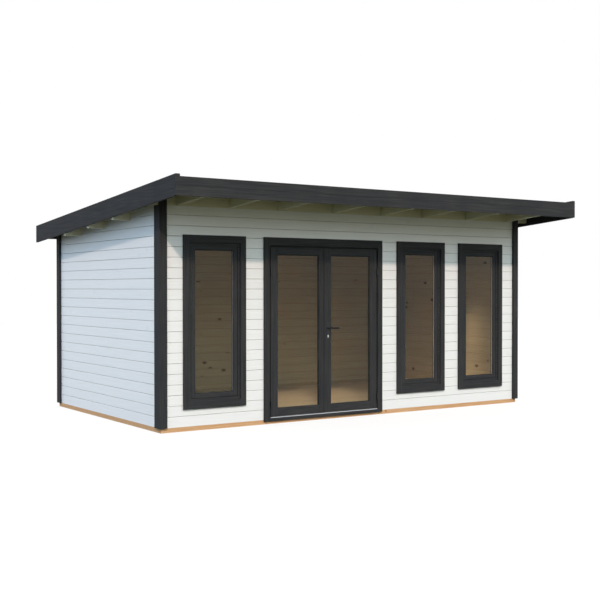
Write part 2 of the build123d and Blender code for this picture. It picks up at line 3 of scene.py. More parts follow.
import bmesh
import bpy
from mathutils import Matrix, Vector


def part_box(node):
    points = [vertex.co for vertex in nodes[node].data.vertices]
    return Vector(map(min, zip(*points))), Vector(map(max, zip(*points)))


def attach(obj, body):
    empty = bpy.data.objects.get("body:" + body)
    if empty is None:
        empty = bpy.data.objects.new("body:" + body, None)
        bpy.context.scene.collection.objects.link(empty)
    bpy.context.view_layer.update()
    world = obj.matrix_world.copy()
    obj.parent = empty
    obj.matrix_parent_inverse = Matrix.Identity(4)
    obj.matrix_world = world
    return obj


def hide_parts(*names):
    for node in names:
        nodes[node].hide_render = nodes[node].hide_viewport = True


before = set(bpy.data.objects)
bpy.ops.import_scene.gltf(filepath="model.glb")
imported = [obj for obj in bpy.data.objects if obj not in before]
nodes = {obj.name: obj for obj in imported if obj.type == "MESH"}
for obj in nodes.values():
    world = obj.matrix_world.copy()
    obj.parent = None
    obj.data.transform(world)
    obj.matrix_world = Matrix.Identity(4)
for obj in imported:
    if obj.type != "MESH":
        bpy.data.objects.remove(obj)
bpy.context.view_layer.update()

# Base frame: a ring of sawn softwood beams with joists between them, on which the walls stand. The
# timber is treated under pressure, which leaves it a light orange tan with a coarse, open grain.


def linear(hex_code):
    """An sRGB hex colour turned to linear light."""
    channels = [int(hex_code[i : i + 2], 16) / 255 for i in (1, 3, 5)]
    return tuple(c / 12.92 if c <= 0.04045 else ((c + 0.055) / 1.055) ** 2.4 for c in channels) + (1.0,)


# Inputs go by name, or by number where a node gives several of them the same name. In a Mix node 0
# is the share, 4 and 5 are places and 6 and 7 colours, which come out mixed at 1 and at 2.
def add(tree, kind, settings=None, links=None):
    """Adds a node: settings are its inputs' values or its own options, and links feed its inputs."""
    node = tree.nodes.new(kind)
    for name, value in (settings or {}).items():
        if isinstance(name, str) and name not in node.inputs:
            setattr(node, name, value)
    for name, value in (settings or {}).items():
        if not isinstance(name, str) or name in node.inputs:
            node.inputs[name].default_value = value
    for name, socket in (links or {}).items():
        tree.links.new(socket, node.inputs[name])
    return node


def new_finish(name):
    """A material with an empty tree, and that tree."""
    finish = bpy.data.materials.new(name)
    finish.use_nodes = True
    finish.node_tree.nodes.clear()
    return finish, finish.node_tree


def dress(node_names, finish):
    """Gives a finish to every face of the named CAD nodes."""
    for node_name in node_names:
        for material_slot in nodes[node_name].material_slots:
            material_slot.material = finish


# How a board's length runs, as the turn that brings it onto the pattern's X axis
ALONG_X = (0.0, 0.0, 0.0)
ALONG_Y = (0.0, 0.0, math.radians(-90))
ALONG_Z = (0.0, math.radians(90), 0.0)


def timber_place(tree, run):
    """Place in metres, turned so that the timber's length lies along the pattern's X axis."""
    here = add(tree, "ShaderNodeTexCoord").outputs["Object"]
    return add(tree, "ShaderNodeMapping", {"Rotation": run}, {"Vector": here}).outputs["Vector"]


# How far the pattern moves from one board of a row to the next, in metres, along it and across it
BOARD_SHIFT = (9.0, 0.31, 0.31)


def board_by_board(tree, place, axis, pitch, first_joint):
    """Moves the pattern to other timber on each board of a row, and gives each board a number, 0 to 1."""
    here = add(tree, "ShaderNodeTexCoord").outputs["Object"]
    split = add(tree, "ShaderNodeSeparateXYZ", {}, {"Vector": here})
    beyond = add(tree, "ShaderNodeMath", {"operation": "SUBTRACT", 1: first_joint}, {0: split.outputs[axis]})
    count = add(tree, "ShaderNodeMath", {"operation": "DIVIDE", 1: pitch}, {0: beyond.outputs[0]})
    number = add(tree, "ShaderNodeMath", {"operation": "FLOOR"}, {0: count.outputs[0]})
    dice = add(tree, "ShaderNodeTexWhiteNoise", {"noise_dimensions": "1D"}, {"W": number.outputs[0]})
    reach = {"operation": "MULTIPLY", 1: BOARD_SHIFT}
    shift = add(tree, "ShaderNodeVectorMath", reach, {0: dice.outputs["Color"]})
    moved = add(tree, "ShaderNodeVectorMath", {"operation": "ADD"}, {0: place, 1: shift.outputs[0]})
    return moved.outputs[0], dice.outputs["Value"]


# Growth in softwood: the length over which its rings wander and how far they do, in millimetres,
# and the levels of the streaks' noise that are taken as the palest and the darkest wood
RING_WANDER_MM = 588
RING_SWAY_MM = 20
RING_LEVELS = (0.3, 0.7)


def softwood_grain(tree, place, ring_mm, streak_mm):
    """Growth rings as long streaks, from pale early wood at 0 to dark late wood at 1."""
    slow = {"Scale": 1000 / RING_WANDER_MM, "Detail": 1.0}
    wander = add(tree, "ShaderNodeTexNoise", slow, {"Vector": place}).outputs["Color"]
    sway = {"operation": "SCALE", "Scale": RING_SWAY_MM / 1000}
    bend = add(tree, "ShaderNodeVectorMath", sway, {0: wander}).outputs[0]
    bent = add(tree, "ShaderNodeVectorMath", {"operation": "ADD"}, {0: place, 1: bend}).outputs[0]
    stretch = {"operation": "MULTIPLY", 1: (1000 / streak_mm, 1000 / ring_mm, 1000 / ring_mm)}
    drawn = add(tree, "ShaderNodeVectorMath", stretch, {0: bent}).outputs[0]
    streaks = {"Scale": 1.0, "Detail": 3.0, "Roughness": 0.6}
    rings = add(tree, "ShaderNodeTexNoise", streaks, {"Vector": drawn}).outputs["Fac"]
    contrast = {"From Min": RING_LEVELS[0], "From Max": RING_LEVELS[1]}
    return add(tree, "ShaderNodeMapRange", contrast, {"Value": rings}).outputs[0]


# Branch knots: their width as a share of their length, the size of their rims' ragged edge, and in
# shares of their radius how ragged it is and where it fades out and is full
KNOT_SQUEEZE = 0.6
KNOT_RAG_MM = 11.1
KNOT_RAG = 0.8
KNOT_RIM = (1.5, 1.1)


def softwood_knots(tree, place, spacing_mm, knot_mm):
    """Branch knots, a little longer along the board: 1 at their middle and 0 off them."""
    squeeze = {"operation": "MULTIPLY", 1: (KNOT_SQUEEZE, 1.0, 1.0)}
    squeezed = add(tree, "ShaderNodeVectorMath", squeeze, {0: place}).outputs[0]
    cells = add(tree, "ShaderNodeTexVoronoi", {"Scale": 1000 / spacing_mm}, {"Vector": squeezed})
    uneven = {"Scale": 1000 / KNOT_RAG_MM, "Detail": 2.0}
    ragged = add(tree, "ShaderNodeTexNoise", uneven, {"Vector": place}).outputs["Fac"]
    radius = knot_mm / spacing_mm / 2
    rag = {"operation": "MULTIPLY_ADD", 1: KNOT_RAG * radius}
    edge = add(tree, "ShaderNodeMath", rag, {0: ragged, 2: cells.outputs["Distance"]}).outputs[0]
    fade = {"From Min": KNOT_RIM[0] * radius, "From Max": KNOT_RIM[1] * radius}
    return add(tree, "ShaderNodeMapRange", fade, {"Value": edge}).outputs[0]


# Planed and sawn boards: how long a streak runs, how far apart and how wide the knots are, and how
# much smoother the early wood and rougher the late wood is
STREAK_MM = 420
KNOT_SPACING_MM = 170
KNOT_MM = 26
EARLY_SMOOTHER = 0.06
LATE_ROUGHER = 0.1


def bare_softwood(name, colours, run, boards=None, ring_mm=5.0, tone=0.1, rough=0.62, relief_mm=0.15):
    """Unpainted softwood. Colours are early wood, late wood and knots; tone is how far boards differ."""
    early, late, knot = colours
    finish, tree = new_finish(name)
    place = timber_place(tree, run)
    if boards:
        place, dice = board_by_board(tree, place, *boards)
    grain = softwood_grain(tree, place, ring_mm, STREAK_MM)
    knots = softwood_knots(tree, place, KNOT_SPACING_MM, KNOT_MM)
    wood = add(tree, "ShaderNodeMix", {"data_type": "RGBA", 6: linear(early), 7: linear(late)}, {0: grain})
    brown = {"data_type": "RGBA", 7: linear(knot)}
    colour = add(tree, "ShaderNodeMix", brown, {0: knots, 6: wood.outputs[2]}).outputs[2]
    if boards:
        levels = {"To Min": 1 - tone, "To Max": 1 + tone}
        level = add(tree, "ShaderNodeMapRange", levels, {"Value": dice}).outputs[0]
        toned = {0: colour, "Scale": level}
        colour = add(tree, "ShaderNodeVectorMath", {"operation": "SCALE"}, toned).outputs[0]
    sheen = {"To Min": rough - EARLY_SMOOTHER, "To Max": rough + LATE_ROUGHER}
    uneven = add(tree, "ShaderNodeMapRange", sheen, {"Value": grain}).outputs[0]
    relief = add(tree, "ShaderNodeBump", {"Strength": 0.6, "Distance": relief_mm / 1000}, {"Height": grain})
    looks = {"Base Color": colour, "Roughness": uneven, "Normal": relief.outputs["Normal"]}
    shader = add(tree, "ShaderNodeBsdfPrincipled", {"IOR": 1.45}, looks)
    add(tree, "ShaderNodeOutputMaterial", {}, {"Surface": shader.outputs[0]})
    return finish


SAWN_TAN = ("#D8AE82", "#BA8A5C", "#A2744A")
treated_beam = bare_softwood("treated_sawn_softwood", SAWN_TAN, ALONG_X, ring_mm=9, rough=0.78, relief_mm=0.5)
dress(["foundation_frame"], treated_beam)

# Floor: planed and tongued pine boards, unfinished, laid from end to end across the joists with a fine
# joint between them. The faces are a warm tan with knots, each board a little lighter or darker.

FLOOR_BOARD = 0.096
FLOOR_JOINT = 0.0012
FLOOR_BEVEL = 0.0012
floor_low, floor_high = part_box("floor_boards")
floor_count = int((floor_high.y - floor_low.y) / FLOOR_BOARD) + 1
floor_pitch = (floor_high.y - floor_low.y) / floor_count
PINE_TAN = ("#E0C5A6", "#CBA985", "#94643E")
floor_pine = bare_softwood("planed_pine_floor", PINE_TAN, ALONG_X, ("Y", floor_pitch, floor_low.y), rough=0.5)


def finished(work, name):
    """Turns the worked faces outwards and makes them a piece."""
    bmesh.ops.recalc_face_normals(work, faces=work.faces)
    mesh = bpy.data.meshes.new(name)
    work.to_mesh(mesh)
    work.free()
    piece = bpy.data.objects.new(name, mesh)
    bpy.context.scene.collection.objects.link(piece)
    return piece


def draw_out(work, outline, run, taper=1.0):
    """Adds a closed bar: the outline drawn out by the run, its far end made smaller by the taper."""
    points = [Vector(point) for point in outline]
    centre = sum(points, Vector()) / len(points)
    near = [work.verts.new(point) for point in points]
    far = [work.verts.new(centre + (point - centre) * taper + Vector(run)) for point in points]
    work.faces.new(near)
    work.faces.new(far)
    for i in range(len(points)):
        j = (i + 1) % len(points)
        work.faces.new((near[i], far[i], far[j], near[j]))


def row_tree():
    """Repeats a piece in a line, and the line in more lines, and gives the copies their finish."""
    tree = bpy.data.node_groups.new("lines_of_pieces", "GeometryNodeTree")
    tree.interface.new_socket("Geometry", in_out="OUTPUT", socket_type="NodeSocketGeometry")
    for label, kind in (
        ("Geometry", "NodeSocketGeometry"),
        ("First", "NodeSocketVector"),
        ("Step", "NodeSocketVector"),
        ("Count", "NodeSocketInt"),
        ("Across", "NodeSocketVector"),
        ("Lines", "NodeSocketInt"),
        ("Turn", "NodeSocketVector"),
        ("Finish", "NodeSocketMaterial"),
    ):
        tree.interface.new_socket(label, in_out="INPUT", socket_type=kind)
    given = add(tree, "NodeGroupInput").outputs
    back = add(tree, "ShaderNodeVectorMath", {"operation": "SCALE", "Scale": -1.0}, {0: given["Turn"]})
    dice = {"data_type": "FLOAT_VECTOR", "Seed": 7}
    turn = add(tree, "FunctionNodeRandomValue", dice, {0: back.outputs[0], 1: given["Turn"]})
    starts = {"Count": given["Lines"], "Start Location": given["First"], "Offset": given["Across"]}
    lines = add(tree, "GeometryNodeMeshLine", {"mode": "OFFSET"}, starts)
    places = {"Count": given["Count"], "Offset": given["Step"]}
    line = add(tree, "GeometryNodeMeshLine", {"mode": "OFFSET"}, places)
    laid = {"Points": lines.outputs[0], "Instance": line.outputs[0]}
    spots = add(tree, "GeometryNodeInstanceOnPoints", {}, laid)
    points = add(tree, "GeometryNodeRealizeInstances", {}, {"Geometry": spots.outputs[0]})
    pieces = {"Points": points.outputs[0], "Instance": given["Geometry"], "Rotation": turn.outputs[0]}
    copies = add(tree, "GeometryNodeInstanceOnPoints", {}, pieces)
    solid = add(tree, "GeometryNodeRealizeInstances", {}, {"Geometry": copies.outputs[0]})
    painted = {"Geometry": solid.outputs[0], "Material": given["Finish"]}
    done = add(tree, "GeometryNodeSetMaterial", {}, painted)
    add(tree, "NodeGroupOutput", {}, {0: done.outputs[0]})
    return tree


lines_of_pieces = row_tree()


def lay(piece, body, slot, **inputs):
    """Repeats a piece as the tree says, keeps the result as a plain mesh and lets it ride on a body."""
    modifier = piece.modifiers.new("lines", "NODES")
    modifier.node_group = lines_of_pieces
    still = (0, 0, 0)
    values = {"First": still, "Step": still, "Count": 1, "Across": still, "Lines": 1, "Turn": still}
    values.update(inputs)
    for item in lines_of_pieces.interface.items_tree:
        if item.in_out == "INPUT" and item.name in values:
            modifier[item.identifier] = values[item.name]
    piece.update_tag()
    bpy.context.view_layer.update()
    laid = bpy.data.meshes.new_from_object(piece.evaluated_get(bpy.context.evaluated_depsgraph_get()))
    piece.modifiers.clear()
    piece.data = laid
    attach(piece, body)


floor_width = floor_pitch - FLOOR_JOINT
floor_outline = [
    (floor_low.x, 0, floor_low.z),
    (floor_low.x, floor_width, floor_low.z),
    (floor_low.x, floor_width, floor_high.z - FLOOR_BEVEL),
    (floor_low.x, floor_width - FLOOR_BEVEL, floor_high.z),
    (floor_low.x, FLOOR_BEVEL, floor_high.z),
    (floor_low.x, 0, floor_high.z - FLOOR_BEVEL),
]
floor_work = bmesh.new()
draw_out(floor_work, floor_outline, (floor_high.x - floor_low.x, 0, 0))
floor_planks = finished(floor_work, "floor_planks")
floor_first = (0, floor_low.y + FLOOR_JOINT / 2, 0)
floor_rows = {"First": floor_first, "Step": (0, floor_pitch, 0), "Count": floor_count}
lay(floor_planks, "root", "floor_pine", Finish=floor_pine, **floor_rows)
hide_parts("floor_boards")

# Skirting: a planed pine strip pinned round the foot of the walls inside, oiled, which makes it a
# little darker than the bare walls and gives it a soft sheen.

OILED_PINE = ("#B0966C", "#9C8058", "#64452A")
dress(["skirting"], bare_softwood("oiled_pine_skirting", OILED_PINE, ALONG_X, rough=0.45))

# Log walls: planed spruce logs 44 mm thick and 114 mm high, stacked on their tongues with a V-joint
# at each course. Outside they have two coats of satin white that let grain and knots show as a faint
# relief. Inside the wood is bare, a warm tan that lies in shade behind the panes.

LOG_HEIGHT = 0.114
WALL = 0.044
LOG_RING_MM = 6.0
LOG_STREAK_MM = 460
LOG_KNOT_SPACING_MM = 190
LOG_KNOT_MM = 48
BARE_SPRUCE = ("#C8B08A", "#B79A70", "#805836")
WHITE_PAINT = ("#EDEDEB", "#E4E4E2")
# How strongly knots show through the paint beside the grain
KNOTS_THROUGH_PAINT = 0.5
# How far one log's colour differs from the next, and how rough the logs are, inside and outside
LOG_TONES = (0.07, 0.012)
LOG_ROUGH = (0.62, 0.42)
# The joints' half widths, the colours of the painted shade in their V-grooves inside and outside, and the
# share over which their edge fades
SEAM_HALVES = (0.004, 0.002)
PAINTED_GROOVE_SHADES = ("#A88C62", "#9E9D98")
SEAM_FADE = 0.3
# The lowest log has no joint at its foot
FOOT_PLAIN = 0.022
log_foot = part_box("back_wall")[0].z


def outer_half(tree, depth_axis, middle, outside):
    """1 on a wall's outer half and 0 on its inner half."""
    here = add(tree, "ShaderNodeTexCoord").outputs["Object"]
    split = add(tree, "ShaderNodeSeparateXYZ", {}, {"Vector": here})
    side = {"operation": "GREATER_THAN" if outside > 0 else "LESS_THAN", 1: middle}
    return add(tree, "ShaderNodeMath", side, {0: split.outputs[depth_axis]}).outputs[0]


def painted_groove_shade(tree, outer):
    """Painted shade in the V-grooves between the courses: 1 in the joints and 0 on the logs' faces."""
    here = add(tree, "ShaderNodeTexCoord").outputs["Object"]
    split = add(tree, "ShaderNodeSeparateXYZ", {}, {"Vector": here})
    from_foot = {"operation": "SUBTRACT", 1: log_foot}
    height = add(tree, "ShaderNodeMath", from_foot, {0: split.outputs["Z"]}).outputs[0]
    courses = {"operation": "PINGPONG", 1: LOG_HEIGHT / 2}
    off_joint = add(tree, "ShaderNodeMath", courses, {0: height}).outputs[0]
    halves = {"To Min": SEAM_HALVES[0], "To Max": SEAM_HALVES[1]}
    half = add(tree, "ShaderNodeMapRange", halves, {"Value": outer}).outputs[0]
    share = add(tree, "ShaderNodeMath", {"operation": "DIVIDE"}, {0: off_joint, 1: half}).outputs[0]
    fade = {"From Min": 1 - SEAM_FADE, "From Max": 1 + SEAM_FADE, "To Min": 1.0, "To Max": 0.0}
    shade_line = add(tree, "ShaderNodeMapRange", fade, {"Value": share}).outputs[0]
    over_foot = {"operation": "GREATER_THAN", 1: FOOT_PLAIN}
    above = add(tree, "ShaderNodeMath", over_foot, {0: height}).outputs[0]
    return add(tree, "ShaderNodeMath", {"operation": "MULTIPLY"}, {0: shade_line, 1: above}).outputs[0]


def log_wall(name, run, depth_axis, middle, outside):
    """White paint on a log wall's outer half, bare spruce on its inner half and painted shade in the V-groove
    at each joint.
    """
    finish, tree = new_finish(name)
    place, dice = board_by_board(tree, timber_place(tree, run), "Z", LOG_HEIGHT, log_foot)
    grain = softwood_grain(tree, place, LOG_RING_MM, LOG_STREAK_MM)
    knots = softwood_knots(tree, place, LOG_KNOT_SPACING_MM, LOG_KNOT_MM)
    outer = outer_half(tree, depth_axis, middle, outside)
    early, late, knot = (linear(shade) for shade in BARE_SPRUCE)
    spruce = add(tree, "ShaderNodeMix", {"data_type": "RGBA", 6: early, 7: late}, {0: grain}).outputs[2]
    bare = add(tree, "ShaderNodeMix", {"data_type": "RGBA", 7: knot}, {0: knots, 6: spruce}).outputs[2]
    faint = {"operation": "MULTIPLY_ADD", 1: KNOTS_THROUGH_PAINT}
    shown_through = add(tree, "ShaderNodeMath", faint, {0: knots, 2: grain}).outputs[0]
    paint = {"data_type": "RGBA", 6: linear(WHITE_PAINT[0]), 7: linear(WHITE_PAINT[1])}
    white = add(tree, "ShaderNodeMix", paint, {0: shown_through}).outputs[2]
    colour = add(tree, "ShaderNodeMix", {"data_type": "RGBA"}, {0: outer, 6: bare, 7: white}).outputs[2]

    tones = {"To Min": LOG_TONES[0], "To Max": LOG_TONES[1]}
    spread = add(tree, "ShaderNodeMapRange", tones, {"Value": outer}).outputs[0]
    centred = add(tree, "ShaderNodeMath", {"operation": "SUBTRACT", 1: 0.5}, {0: dice}).outputs[0]
    round_one = {"operation": "MULTIPLY_ADD", 2: 1.0}
    level = add(tree, "ShaderNodeMath", round_one, {0: centred, 1: spread}).outputs[0]
    toned = add(tree, "ShaderNodeVectorMath", {"operation": "SCALE"}, {0: colour, "Scale": level}).outputs[0]

    # Painted shade: each joint's V-groove is darkened, grey on the white paint outside and brown on the bare
    # wood inside
    groove_shade_colours = {"data_type": "RGBA", 6: linear(PAINTED_GROOVE_SHADES[0]), 7: linear(PAINTED_GROOVE_SHADES[1])}
    dark = add(tree, "ShaderNodeMix", groove_shade_colours, {0: outer}).outputs[2]
    joined = {0: painted_groove_shade(tree, outer), 6: toned, 7: dark}
    shown = add(tree, "ShaderNodeMix", {"data_type": "RGBA"}, joined).outputs[2]
    sheen = {"To Min": LOG_ROUGH[0], "To Max": LOG_ROUGH[1]}
    rough = add(tree, "ShaderNodeMapRange", sheen, {"Value": outer}).outputs[0]
    low_relief = {"Strength": 0.5, "Distance": 0.0002}
    relief = add(tree, "ShaderNodeBump", low_relief, {"Height": shown_through}).outputs["Normal"]
    looks = {"Base Color": shown, "Roughness": rough, "Normal": relief}
    shader = add(tree, "ShaderNodeBsdfPrincipled", {"IOR": 1.45}, looks)
    add(tree, "ShaderNodeOutputMaterial", {}, {"Surface": shader.outputs[0]})
    return finish


front_walls = ["front_wall_left", "front_wall_over_door", "front_wall_right"]
front_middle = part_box("front_wall_left")[0].y + WALL / 2
dress(front_walls, log_wall("painted_spruce_front", ALONG_X, "Y", front_middle, -1))
back_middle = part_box("back_wall")[0].y + WALL / 2
dress(["back_wall"], log_wall("painted_spruce_back", ALONG_X, "Y", back_middle, 1))
for side_wall, outside in (("left_wall", -1), ("right_wall", 1)):
    side_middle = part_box(side_wall)[0].x + WALL / 2
    dress([side_wall], log_wall(f"painted_spruce_{side_wall}", ALONG_Y, "X", side_middle, outside))

# Corner boards: two planed softwood boards to a corner, nailed to the logs and given two coats of
# satin anthracite, a neutral dark grey that shows the grain as a faint relief under a thin bloom of
# dust. The nails' heads are painted over and stand a little proud.

POST_WIDTH = 0.09
NAIL_INSET = 0.022
NAIL_HEAD = 0.0032
NAIL_RISE = 0.0009
NAIL_TAPER = 0.75
# Every third course is nailed through the front or back board, and the course over it at the side
NAIL_COURSES = 3
FACE_NAILS = 7
SIDE_NAILS = 6
ANTHRACITE = ("#2D2E30", "#4A4948")
OPEN_JOINT = "#141415"
DUST_PATCH_MM = 333
DUSTY_ROUGH = (0.56, 0.7)
# Such paint has an IOR of 1.5. The dust takes most of its gloss, which a low value stands for.
DUSTY_IOR = 1.12
# The grain's streaks are 4 to 6 mm wide. They are drawn coarser, so that they show in a whole view.
SHOWN_STREAK_MM = 11.0
PAINTED_STREAK_MM = 500


def off_middle(tree, middle):
    """Distance from a frame's middle, to the left or to the right."""
    here = add(tree, "ShaderNodeTexCoord").outputs["Object"]
    split = add(tree, "ShaderNodeSeparateXYZ", {}, {"Vector": here})
    off = add(tree, "ShaderNodeMath", {"operation": "SUBTRACT", 1: middle}, {0: split.outputs["X"]})
    return add(tree, "ShaderNodeMath", {"operation": "ABSOLUTE"}, {0: off.outputs[0]}).outputs[0]


def anthracite_boards(name, run, stiles=None, joint_mm=0.8):
    """Satin anthracite on planed boards; stiles gives a frame's middle and half width between stiles."""
    finish, tree = new_finish(name)
    place = timber_place(tree, run)
    if stiles:
        middle, half_width = stiles
        away = off_middle(tree, middle)
        beyond = {"operation": "GREATER_THAN", 1: half_width}
        stile = add(tree, "ShaderNodeMath", beyond, {0: away}).outputs[0]
        chosen = {0: stile, 4: place, 5: timber_place(tree, ALONG_Z)}
        place = add(tree, "ShaderNodeMix", {"data_type": "VECTOR"}, chosen).outputs[1]
    grain = softwood_grain(tree, place, SHOWN_STREAK_MM, PAINTED_STREAK_MM)
    broad = {"Scale": 1000 / DUST_PATCH_MM, "Detail": 4.0}
    patches = add(tree, "ShaderNodeTexNoise", broad, {"Vector": place}).outputs["Fac"]
    dust = add(tree, "ShaderNodeMath", {"operation": "MULTIPLY"}, {0: grain, 1: patches})
    paint = {"data_type": "RGBA", 6: linear(ANTHRACITE[0]), 7: linear(ANTHRACITE[1])}
    colour = add(tree, "ShaderNodeMix", paint, {0: dust.outputs[0]}).outputs[2]
    if stiles and joint_mm:
        hairline = {"operation": "COMPARE", 1: half_width, 2: joint_mm / 2000}
        joint = add(tree, "ShaderNodeMath", hairline, {0: away}).outputs[0]
        dark = {"data_type": "RGBA", 7: linear(OPEN_JOINT)}
        colour = add(tree, "ShaderNodeMix", dark, {0: joint, 6: colour}).outputs[2]
    sheen = {"To Min": DUSTY_ROUGH[0], "To Max": DUSTY_ROUGH[1]}
    rough = add(tree, "ShaderNodeMapRange", sheen, {"Value": patches}).outputs[0]
    relief = add(tree, "ShaderNodeBump", {"Strength": 0.5, "Distance": 0.0002}, {"Height": grain})
    looks = {"Base Color": colour, "Roughness": rough, "Normal": relief.outputs["Normal"]}
    shader = add(tree, "ShaderNodeBsdfPrincipled", {"IOR": DUSTY_IOR}, looks)
    add(tree, "ShaderNodeOutputMaterial", {}, {"Surface": shader.outputs[0]})
    return finish


def round_outline(facing, radius, sides=10):
    """Corners of a small round head that faces along one axis."""
    turn = Vector((0, 0, 1)).rotation_difference(Vector(facing))
    angles = [math.tau * step / sides for step in range(sides)]
    return [turn @ Vector((math.cos(angle) * radius, math.sin(angle) * radius, 0)) for angle in angles]


def nail_head(name, facing, radius, rise):
    """A low nail head with a tapered rim."""
    work = bmesh.new()
    draw_out(work, round_outline(facing, radius), Vector(facing) * rise, taper=NAIL_TAPER)
    return finished(work, name)


anthracite_upright = anthracite_boards("anthracite_upright_boards", ALONG_Z)
for end in ("front", "back"):
    for side in ("left", "right"):
        post = f"{end}_{side}_post"
        dress([post], anthracite_upright)
        low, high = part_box(post)
        facing_y = -1 if end == "front" else 1
        facing_x = -1 if side == "left" else 1
        outer_y = low.y if end == "front" else high.y
        outer_x = low.x if side == "left" else high.x
        step = (0, 0, NAIL_COURSES * LOG_HEIGHT)
        rows = {"Step": step, "Lines": 2, "Finish": anthracite_upright}
        nails = nail_head(f"{post}_nails", (0, facing_y, 0), NAIL_HEAD, NAIL_RISE)
        first = (low.x + NAIL_INSET, outer_y, low.z + 0.5 * LOG_HEIGHT)
        across = (POST_WIDTH - 2 * NAIL_INSET, 0, 0)
        lay(nails, "root", "trim_anthracite", First=first, Across=across, Count=FACE_NAILS, **rows)

        # At the side, one line stands two insets from the front edge and one an inset from the back
        nails = nail_head(f"{post}_side_nails", (facing_x, 0, 0), NAIL_HEAD, NAIL_RISE)
        first = (outer_x, low.y + 2 * NAIL_INSET, low.z + 1.5 * LOG_HEIGHT)
        across = (0, high.y - low.y - 3 * NAIL_INSET, 0)
        lay(nails, "root", "trim_anthracite", First=first, Across=across, Count=SIDE_NAILS, **rows)

# Windows: a casing nailed over the logs and a fixed sash inside it, of planed softwood with the same
# anthracite paint. The stiles run the full height, with the rails tenoned between them, and a
# hairline shows at the sash's joints.

CASING_UPRIGHT = 0.071
PANE_EDGE = 0.012


def between_stiles(node, stile):
    """A frame's middle and its half width between stiles."""
    low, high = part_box(node)
    return ((low.x + high.x) / 2, (high.x - low.x) / 2 - stile)


for number in (1, 2, 3):
    casing = f"window_{number}_frame"
    opening = between_stiles(casing, CASING_UPRIGHT)
    dress([casing], anthracite_boards(f"anthracite_casing_{number}", ALONG_X, opening, joint_mm=0))
    opening = between_stiles(f"window_{number}_glass", PANE_EDGE)
    dress([f"window_{number}_sash"], anthracite_boards(f"anthracite_sash_{number}", ALONG_X, opening))

# Door: a casing, a sill board and two leaves, of planed softwood with the same anthracite paint. The
# left leaf has the narrow meeting stile, and the right one has the lock in its wide one.

opening = between_stiles("door_frame", CASING_UPRIGHT)
dress(["door_frame"], anthracite_boards("anthracite_door_casing", ALONG_X, opening, joint_mm=0))
dress(["door_threshold"], anthracite_boards("anthracite_sill", ALONG_X))
for side in ("left", "right"):
    opening = between_stiles(f"{side}_door_glass", PANE_EDGE)
    dress([f"{side}_door_leaf"], anthracite_boards(f"anthracite_{side}_leaf", ALONG_X, opening))

# Panes: sealed units of two sheets of float glass, clear with a faint green edge. In the windows they
# are held apart by a bar of bright rolled aluminium, which shows as a thin pale line where the view is
# slanting, and in the door by a bar of black foam.

# Float glass has an IOR of 1.5. A lower one keeps the pale studio's reflection from hiding the room.
PANE_IOR = 1.2
float_glass, tree = new_finish("float_glass")
clear = {"Base Color": linear("#F1F5F2"), "Roughness": 0.0, "IOR": PANE_IOR, "Transmission Weight": 1.0}
pane = add(tree, "ShaderNodeBsdfPrincipled", clear)
path = add(tree, "ShaderNodeLightPath")
open_pane = add(tree, "ShaderNodeBsdfTransparent", {"Color": linear("#F6F9F7")})
both = {0: path.outputs["Is Shadow Ray"], 1: pane.outputs[0], 2: open_pane.outputs[0]}
lets_light = add(tree, "ShaderNodeMixShader", {}, both)
add(tree, "ShaderNodeOutputMaterial", {}, {"Surface": lets_light.outputs[0]})
window_panes = [f"window_{number}_glass" for number in (1, 2, 3)]
dress(window_panes + ["left_door_glass", "right_door_glass"], float_glass)

# How long the marks run that rolling, drawing or turning leaves on metal
METAL_MARK_RUN_MM = 50


def bare_metal(name, hex_code, rough, mark_mm, run=ALONG_X):
    """Bare metal whose fine lengthwise marks change its roughness and relief."""
    finish, tree = new_finish(name)
    place = timber_place(tree, run)
    stretch = (1000 / METAL_MARK_RUN_MM, 1000 / mark_mm, 1000 / mark_mm)
    drawn = add(tree, "ShaderNodeVectorMath", {"operation": "MULTIPLY", 1: stretch}, {0: place})
    fine = {"Scale": 1.0, "Detail": 2.0}
    marks = add(tree, "ShaderNodeTexNoise", fine, {"Vector": drawn.outputs[0]}).outputs["Fac"]
    sheen = {"To Min": rough[0], "To Max": rough[1]}
    uneven = add(tree, "ShaderNodeMapRange", sheen, {"Value": marks}).outputs[0]
    relief = add(tree, "ShaderNodeBump", {"Strength": 0.2, "Distance": 0.00005}, {"Height": marks})
    metal = {"Base Color": linear(hex_code), "Metallic": 1.0}
    looks = {"Roughness": uneven, "Normal": relief.outputs["Normal"]}
    shader = add(tree, "ShaderNodeBsdfPrincipled", metal, looks)
    add(tree, "ShaderNodeOutputMaterial", {}, {"Surface": shader.outputs[0]})
    return finish


spacer_aluminium = bare_metal(
    "rolled_aluminium_spacer", "#E4E5E6", rough=(0.6, 0.75), mark_mm=0.6, run=ALONG_Z
)
dress(["window_spacers"], spacer_aluminium)
BLOOM_MM = 25


def black_polymer(name, dark, pale, rough):
    """A dead black rubber or foam with the faint grey bloom of its surface."""
    finish, tree = new_finish(name)
    here = add(tree, "ShaderNodeTexCoord").outputs["Object"]
    cloudy = {"Scale": 1000 / BLOOM_MM, "Detail": 3.0}
    bloom = add(tree, "ShaderNodeTexNoise", cloudy, {"Vector": here}).outputs["Fac"]
    shades = {"data_type": "RGBA", 6: linear(dark), 7: linear(pale)}
    colour = add(tree, "ShaderNodeMix", shades, {0: bloom}).outputs[2]
    sheen = {"To Min": rough[0], "To Max": rough[1]}
    uneven = add(tree, "ShaderNodeMapRange", sheen, {"Value": bloom}).outputs[0]
    looks = {"Base Color": colour, "Roughness": uneven}
    shader = add(tree, "ShaderNodeBsdfPrincipled", {"IOR": 1.4}, looks)
    add(tree, "ShaderNodeOutputMaterial", {}, {"Surface": shader.outputs[0]})
    return finish


foam_spacer = black_polymer("black_foam_spacer", "#0C0C0D", "#161617", rough=(0.8, 0.95))
dress(["left_door_spacer", "right_door_spacer"], foam_spacer)

# Glazing gaskets: black EPDM rubber pressed between the panes and the frames, outside and inside. The
# outer one is a low wedge that shows as a dead black line round each pane.

